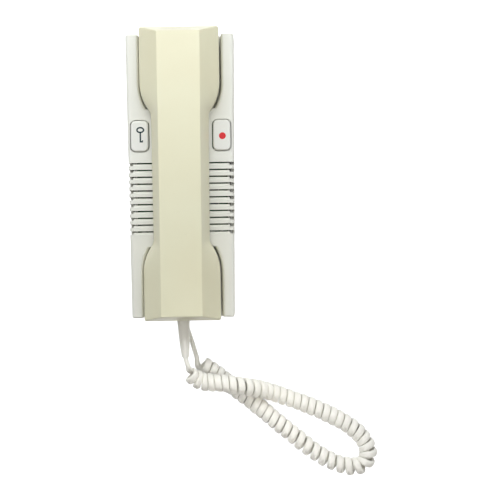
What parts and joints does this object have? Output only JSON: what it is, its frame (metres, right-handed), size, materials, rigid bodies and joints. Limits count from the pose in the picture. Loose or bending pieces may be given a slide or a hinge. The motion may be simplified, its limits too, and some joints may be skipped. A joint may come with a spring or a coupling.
{
  "type": "wall intercom",
  "caption": "Wall-mounted door intercom: slim white base with louvres and push buttons, a cream handset resting in its two pockets, and an off-white curly cord between them.",
  "frame": {"origin": "on the wall plane (the back plate's outer face), under the middle of the handset's outline, which is the middle of the unit without its cord", "axes": "the unit lies on its back: +Z out of its front, away from the wall; +Y towards the ear end, which is up when it hangs on a wall; +X to the right seen from the front"},
  "size_m": [0.1847, 0.3343, 0.054],
  "materials": {
    "base_plastic": "satin",
    "handset_plastic": "satin",
    "button_plastic": "satin",
    "cord_plastic": "satin",
    "board": "matte",
    "inner_plastic": "matte",
    "terminal_plastic": "satin",
    "capacitor_sleeve": "gloss",
    "capsule_metal": "satin",
    "rubber": "matte",
    "steel": "satin"
  },
  "bodies": {
    "base": {"base_cover": "base_plastic", "base_back": "base_plastic", "circuit_board": "board", "board_screws": "steel", "cover_screws": "steel", "terminal_block": "terminal_plastic", "terminal_screws": "steel", "call_speaker": "inner_plastic", "tact_switches": "inner_plastic", "capacitors": "capacitor_sleeve", "hook_switch": "inner_plastic", "hook_spring": "steel", "base_cord_grommet": "cord_plastic", "handset_cord": "cord_plastic"},
    "handset": {"handset_front": "handset_plastic", "handset_back": "handset_plastic", "handset_screws": "steel", "receiver_gasket": "rubber", "receiver_capsule": "capsule_metal", "microphone_holder": "rubber", "microphone_capsule": "capsule_metal", "handset_strain_relief": "cord_plastic"},
    "hook": {"hook_plunger": "base_plastic"},
    "door_key": {"door_button": "button_plastic"},
    "call_key": {"call_button": "button_plastic"}
  },
  "joints": [
    {"name": "handset_lift", "type": "hinge", "parent": "base", "child": "handset", "pos_m": [0.001, -0.13418, 0.0307], "axis": [1, 0, 0], "range_deg": [0, 35]},
    {"name": "hook_rise", "type": "slide", "parent": "base", "child": "hook", "axis": [0, 0, 1], "range_m": [0, 0.004], "deforming": ["hook_spring"]},
    {"name": "door_press", "type": "slide", "parent": "base", "child": "door_key", "axis": [0, 0, -1], "range_m": [0, 0.0015], "stiffness_N_per_m": 400},
    {"name": "call_press", "type": "slide", "parent": "base", "child": "call_key", "axis": [0, 0, -1], "range_m": [0, 0.0015], "stiffness_N_per_m": 400}
  ],
  "couplings": [
    {"joint": "hook_rise", "follows": "handset_lift", "m_per_rad": 0.0065}
  ]
}
